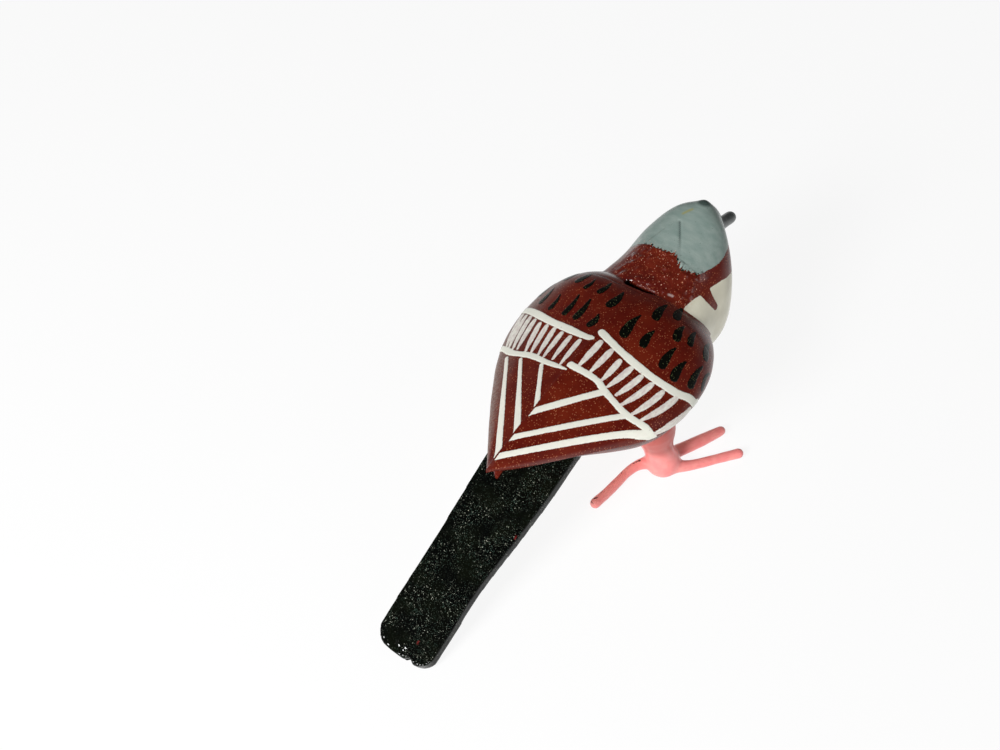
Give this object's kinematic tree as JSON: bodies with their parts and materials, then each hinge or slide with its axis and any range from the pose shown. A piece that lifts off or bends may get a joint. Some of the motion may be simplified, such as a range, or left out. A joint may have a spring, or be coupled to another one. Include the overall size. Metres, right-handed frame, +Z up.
{
  "type": "bird-shaped ocarina",
  "caption": "Painted songbird vessel flute: hollow body with wing covers, tail mouthpiece, belly finger holes and wire feet to stand on.",
  "frame": {"origin": "on the ground under the bird, midway between the beak's tip and the tail's end, on its middle plane", "axes": "+Y forwards along the beak, +X to the bird's right, +Z up"},
  "size_m": [0.0624, 0.142, 0.0621],
  "materials": {
    "brown_paint": "gloss paint, maroon brown, on carved wood",
    "white_paint": "gloss paint, warm white, on carved wood",
    "black_paint": "gloss varnish with fine glitter over black",
    "head_paint": "gloss paint, blue-grey cap",
    "bare_wood": "bare, sanded",
    "brown_putty": "painted putty",
    "beak_paint": "gloss paint, dark grey",
    "eye_bead": "polished bead",
    "pink_paint": "thick gloss paint over putty and wire",
    "wire": "plain wire"
  },
  "bodies": {
    "root": {"back_shell": "brown_paint", "belly_shell": "white_paint", "wing_left": "brown_paint", "wing_right": "brown_paint", "rump_block": "brown_paint", "tail_roof": "black_paint", "tail_floor": "black_paint", "fipple_block": "bare_wood", "labium": "bare_wood", "head": "head_paint", "neck_dowel": "bare_wood", "nape_filler": "brown_putty", "beak": "beak_paint", "eye_left": "eye_bead", "eye_right": "eye_bead", "leg_wire_left": "wire", "thigh_putty_left": "pink_paint", "foot_putty_left": "pink_paint", "inner_toe_left": "pink_paint", "outer_toe_left": "pink_paint", "hind_toe_left": "pink_paint", "leg_wire_right": "wire", "thigh_putty_right": "pink_paint", "foot_putty_right": "pink_paint", "inner_toe_right": "pink_paint", "outer_toe_right": "pink_paint", "hind_toe_right": "pink_paint"}
  },
  "joints": []
}
